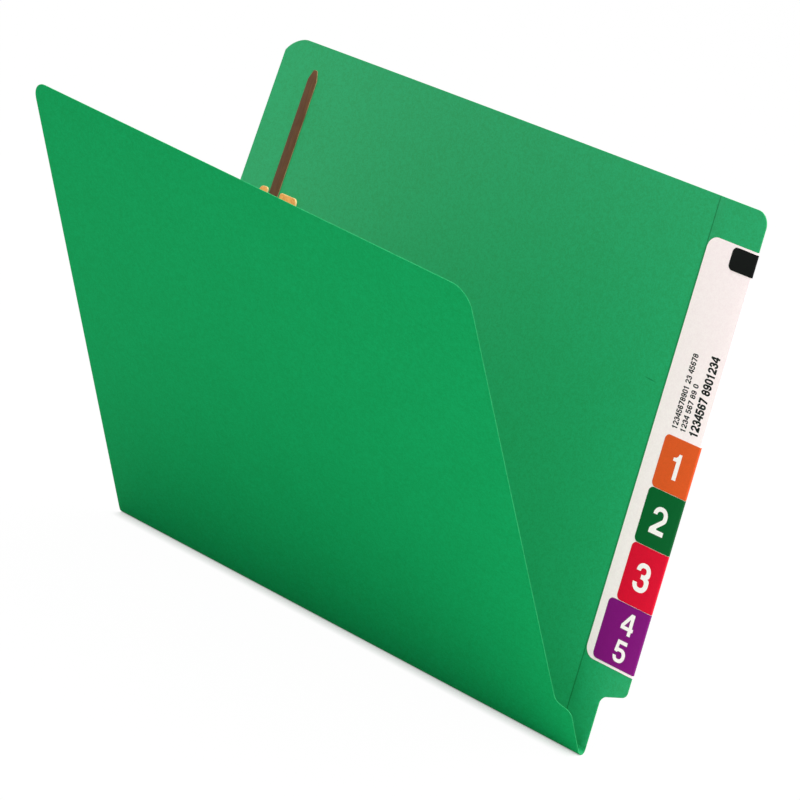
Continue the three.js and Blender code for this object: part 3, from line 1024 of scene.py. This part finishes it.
# %% Numbers on the stickers
NUMBER_FROM_EDGE = 9.5
NUMBER_SEGMENTS = 8
NUMBER_LEVEL = PLY_HIGH + sticker_gap(1) + LABEL_THICKNESS / 2 + INK_LIFT
BACK_LEVEL = -FACE - sticker_gap(1) - LABEL_THICKNESS / 2 - INK_LIFT
# Each row: numeral, its middle's place up the cover, its height and slot.
NUMBERS = [
    ("1", 129.5, 11.15, "orange_label"),
    ("2", 105.6, 11.9, "dark_green_label"),
    ("3", 80.4, 12.5, "red_label"),
    ("4", 59.7, 9.5, "purple_label"),
    ("5", 47.5, 9.5, "purple_label"),
]
for text, centre, height, slot in NUMBERS:
    for side, way, level in (("inside", 1, NUMBER_LEVEL), ("back", -1, BACK_LEVEL)):
        plate = draw_numerals(text, NUMBER_SEGMENTS)
        width = scale_type(plate, height)
        ink_piece(
            f"number_{text}_{side}", plate,
            lambda x, y, off: on_cover(
                BACK, TAB_EDGE - NUMBER_FROM_EDGE + way * x, centre + y, level + way * off
            ),
            ink_white,
        )
    print(f"  number {text}: {width:.1f} mm wide, {height} mm high")

# %% [markdown]
# ## Rows of text
# A filing label carries rows of text that read up the tab. Here they are plain counting
# numbers: two small rows and one larger, bolder row nearest the edge. Their tops point away
# from the edge, so the type is turned a quarter as it is laid on, and each row is stretched to
# its own length.

# %% Rows
ROW_LEVEL = PLY_HIGH + sticker_gap(0) + LABEL_THICKNESS / 2 + INK_LIFT
ROW_FOOT = 144.3
ROW_SEGMENTS = 3
# Each row: piece, text, distance from the edge, height, length and the growth of its strokes.
ROWS = [
    ("row_upper", "12345678901 23 45678", 14.4, 3.1, 32.3, 0.2),
    ("row_middle", "1234 567 89 0", 9.8, 3.0, 20.6, 0.2),
    ("row_bold", "1234567 8901234", 3.0, 4.8, 34.3, 0.32),
]
for name, text, from_edge, height, length, bold in ROWS:
    plate = draw_numerals(text, ROW_SEGMENTS)
    embolden(plate, bold)
    width = scale_type(plate, height)
    bmesh.ops.scale(plate, verts=plate.verts[:], vec=(length / width, 1, 1))
    baseline = TAB_EDGE - from_edge
    ink_piece(
        name, plate,
        lambda x, y, off: on_cover(
            BACK, baseline - height / 2 - y, ROW_FOOT + length / 2 + x, ROW_LEVEL + off
        ),
        ink_text,
    )

# %% [markdown]
# ## Tan board
# A patch of tan board holds the fastener to the card. Board is a coarser paper, so its face
# takes the card's recipe with more clouds and mottle in it and fewer fibres.

# %% Board finishes
board_face = paper_finish(
    "board_face", screen_colour(212, 144, 74), screen_colour(236, 170, 96), 0.8,
    cloud=0.1, mottle=0.4, fibre=0.5,
)
board_edge = paper_finish(
    "board_edge", screen_colour(222, 180, 120), screen_colour(240, 205, 150), 0.85
)
print("board finishes:", board_face.name, board_edge.name)

# %% [markdown]
# ## Coated steel
# A paper fastener is a strip of thin steel with a brown coating. The strip was rolled, so its
# coating has fine streaks along its length. They could be drawn one by one, but a noise
# texture that is stretched along the strip gives all of them at once, and the same noise
# gives a little bump. The strip's rims are cut after coating and show bare, yellowish steel.

# %% Coatings
STREAK_SQUEEZE = (1.0, 0.08, 0.08)
STREAKS_PER_METRE = 1800
PATCHES_PER_METRE = 120
STREAK_DETAIL = 4
STREAK_SHARE = 0.6
STREAK_ENDS = (0.35, 0.65)
SMOOTHER = 0.06
ROUGHER = 0.08
SCRATCH_STRENGTH = 0.15
SCRATCH_DEPTH = 0.00005
COATING_SHINE = 0.15


def coated_finish(name, dark, light, roughness, metallic):
    """A thin coating on steel strip, rolled along its length."""
    material, nodes, links, shader = new_finish(name)
    place = nodes.new("ShaderNodeTexCoord")
    stretch = nodes.new("ShaderNodeMapping")
    stretch.inputs["Scale"].default_value = STREAK_SQUEEZE
    links.new(place.outputs["Object"], stretch.inputs["Vector"])
    streaks = nodes.new("ShaderNodeTexNoise")
    streaks.inputs["Scale"].default_value = STREAKS_PER_METRE
    streaks.inputs["Detail"].default_value = STREAK_DETAIL
    links.new(stretch.outputs["Vector"], streaks.inputs["Vector"])
    patches = noise_on(nodes, links, place, PATCHES_PER_METRE)
    shares = [(streaks.outputs["Fac"], STREAK_SHARE), (patches.outputs["Fac"], 1 - STREAK_SHARE)]
    blend = weighted_sum(nodes, links, shares)
    colour_between(nodes, links, blend, STREAK_ENDS, (dark, light), shader)
    gloss = nodes.new("ShaderNodeMapRange")
    gloss.inputs["To Min"].default_value = roughness - SMOOTHER
    gloss.inputs["To Max"].default_value = roughness + ROUGHER
    links.new(blend, gloss.inputs["Value"])
    links.new(gloss.outputs["Result"], shader.inputs["Roughness"])
    dent_surface(
        nodes, links, streaks.outputs["Fac"], SCRATCH_STRENGTH, SCRATCH_DEPTH, shader
    )
    shader.inputs["Metallic"].default_value = metallic
    shader.inputs["Specular IOR Level"].default_value = COATING_SHINE
    return material


brown_coat = coated_finish(
    "brown_coat", screen_colour(86, 55, 35), screen_colour(107, 71, 47), 0.5, 0.0
)
cut_steel = coated_finish(
    "cut_steel", screen_colour(138, 112, 78), screen_colour(176, 150, 110), 0.45, 0.3
)
print("coatings:", brown_coat.name, cut_steel.name)

# %% [markdown]
# ## The prongs
# The strip's middle lies flat under the board patch, and its two ends are the prongs, which on
# a real fastener bend up at the patch's notches to go through the sheets. Here they lie flat on
# the cover, and rows of points lie close together where they would bend.

# %% Prong sizes
PRONG_FROM_EDGE = 25.2
PRONG_X = PRONG_FROM_EDGE - HALF_BODY
PRONG_HALF = 6.35 / 2
PRONG_THICKNESS = 0.4
PRONG_BEVEL = 0.09
TIP_HALF = 1.2
TIP_LENGTH = 4.8
TIP_CORNER = 0.9
PRONG_REACH = 73.8
ROOT_UP = 69.85 / 2
FASTENER_MIDDLE = BACK_HEIGHT / 2
HALVES_APART = 0.1
STRIP_LOW = FACE + GLUE_LINE
STRIP_HIGH = STRIP_LOW + PRONG_THICKNESS
BEND_START = -0.25
BEND_ROWS = 13
BEND_ROW_STEP = 0.1
FINE_SPACING = 5
print("prongs:", 2 * ROOT_UP, "mm apart and", PRONG_REACH, "mm long")

# %% Prongs
for name, node, body, way in (
    ("prong_strip_upper", "prong_upper", "upper_prong", 1),
    ("prong_strip_lower", "prong_lower", "lower_prong", -1),
):
    root = FASTENER_MIDDLE + way * ROOT_UP
    tip = FASTENER_MIDDLE + way * (ROOT_UP + PRONG_REACH)
    shoulder = tip - way * TIP_LENGTH
    corners = [
        (PRONG_X - PRONG_HALF, FASTENER_MIDDLE + way * HALVES_APART, 0),
        (PRONG_X + PRONG_HALF, FASTENER_MIDDLE + way * HALVES_APART, 0),
        (PRONG_X + PRONG_HALF, shoulder, TIP_CORNER),
        (PRONG_X + TIP_HALF, tip, TIP_CORNER),
        (PRONG_X - TIP_HALF, tip, TIP_CORNER),
        (PRONG_X - PRONG_HALF, shoulder, TIP_CORNER),
    ]
    plate = outline_plate(corners, STRIP_LOW, STRIP_HIGH, segments=6)
    soften_rim(plate, PRONG_BEVEL, segments=2)
    colour_rim(plate)
    ends = sorted((FASTENER_MIDDLE, tip))
    bend_rows = [root + way * (BEND_START + BEND_ROW_STEP * row) for row in range(BEND_ROWS)]
    slice_plate(plate, 1, sorted(steps(*ends, FINE_SPACING) + bend_rows))
    slice_plate(plate, 0, [PRONG_X])
    strip = put_in_place(
        name, plate, lambda x, up, off: on_cover(BACK, x, up, off),
        [brown_coat, cut_steel],
    )
    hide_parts(node, "fastener_base")
    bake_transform(strip)

# %% [markdown]
# ## The board patch
# The patch is cut from tan board, with a notch at each end for a prong. Cuts on each side of the
# strip part its underside, and the points between them are lifted, which leaves the channel
# that the strip lies in. A boolean cut could make that channel too, but it can leave thin
# stray faces. Only the upper rim is rounded, since the lower one is glued down.

# %% Patch sizes
# Across the strip, the patch reaches further to the right than to the left.
PATCH_LEFT = PRONG_X - 9.9
PATCH_RIGHT = PRONG_X + 16.8
NOTCH_LEFT = PRONG_X - 4.3
NOTCH_RIGHT = PRONG_X + 4.6
# Up and down from the fastener's middle, it ends past the prongs' roots, and its notches at them.
PATCH_END = ROOT_UP + 14.6
NOTCH_END = ROOT_UP - 0.5
PATCH_CORNER = 2.6
NOTCH_CORNER = 1.3
PATCH_BEVEL = 0.15
CHANNEL_CLEARANCE = 0.1
CHANNEL_HALF = PRONG_HALF + CHANNEL_CLEARANCE
CHANNEL_WALL = 0.04
CHANNEL_TOP = STRIP_HIGH + CHANNEL_CLEARANCE
PATCH_ROOF = 0.3
PATCH_TOP = CHANNEL_TOP + PATCH_ROOF
LEVEL_TOLERANCE = 0.001
PATCH_HALF_OUTLINE = [
    (PATCH_RIGHT, PATCH_END, PATCH_CORNER),
    (NOTCH_RIGHT, PATCH_END, NOTCH_CORNER),
    (NOTCH_RIGHT, NOTCH_END, 0),
    (NOTCH_LEFT, NOTCH_END, 0),
    (NOTCH_LEFT, PATCH_END, NOTCH_CORNER),
    (PATCH_LEFT, PATCH_END, PATCH_CORNER),
]
print("patch:", round(PATCH_RIGHT - PATCH_LEFT, 2), "by", 2 * PATCH_END, "mm")

# %% Board patch
lower_half = [(x, FASTENER_MIDDLE - up, radius) for x, up, radius in PATCH_HALF_OUTLINE]
upper_half = [(x, FASTENER_MIDDLE + up, radius) for x, up, radius in PATCH_HALF_OUTLINE]
patch_plate = outline_plate(lower_half[::-1] + upper_half, STRIP_LOW, PATCH_TOP, segments=8)
wall_foot = CHANNEL_HALF + CHANNEL_WALL
slice_plate(
    patch_plate, 0,
    [PRONG_X - wall_foot, PRONG_X - CHANNEL_HALF, PRONG_X + CHANNEL_HALF, PRONG_X + wall_foot],
)
for point in patch_plate.verts:
    if point.co.z < CHANNEL_TOP and abs(point.co.x - PRONG_X) < CHANNEL_HALF + CHANNEL_WALL / 2:
        point.co.z = CHANNEL_TOP
patch_rim = [
    edge for edge in patch_plate.edges
    if all(abs(point.co.z - PATCH_TOP) < LEVEL_TOLERANCE for point in edge.verts)
    and edge.calc_face_angle(0) > CORNER_TURN
]
bmesh.ops.bevel(
    patch_plate, geom=patch_rim, offset=PATCH_BEVEL, offset_type="OFFSET", segments=2,
    profile=0.5, affect="EDGES", material=-1,
)
colour_rim(patch_plate)
slice_plate(patch_plate, 0, steps(PATCH_LEFT, PATCH_RIGHT, FINE_SPACING))
patch_ends = (FASTENER_MIDDLE - PATCH_END, FASTENER_MIDDLE + PATCH_END)
slice_plate(patch_plate, 1, steps(*patch_ends, ROW_SPACING))
patch = put_in_place(
    "board_patch", patch_plate, lambda x, up, off: on_cover(BACK, x, up, off),
    [board_face, board_edge],
)
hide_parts("fastener_patch")
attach(patch, "back")

# %% [markdown]
# ## The end
# At the end the scene is brought up to date, so that every piece stands where it was put.

# %% Update the scene
bpy.context.view_layer.update()
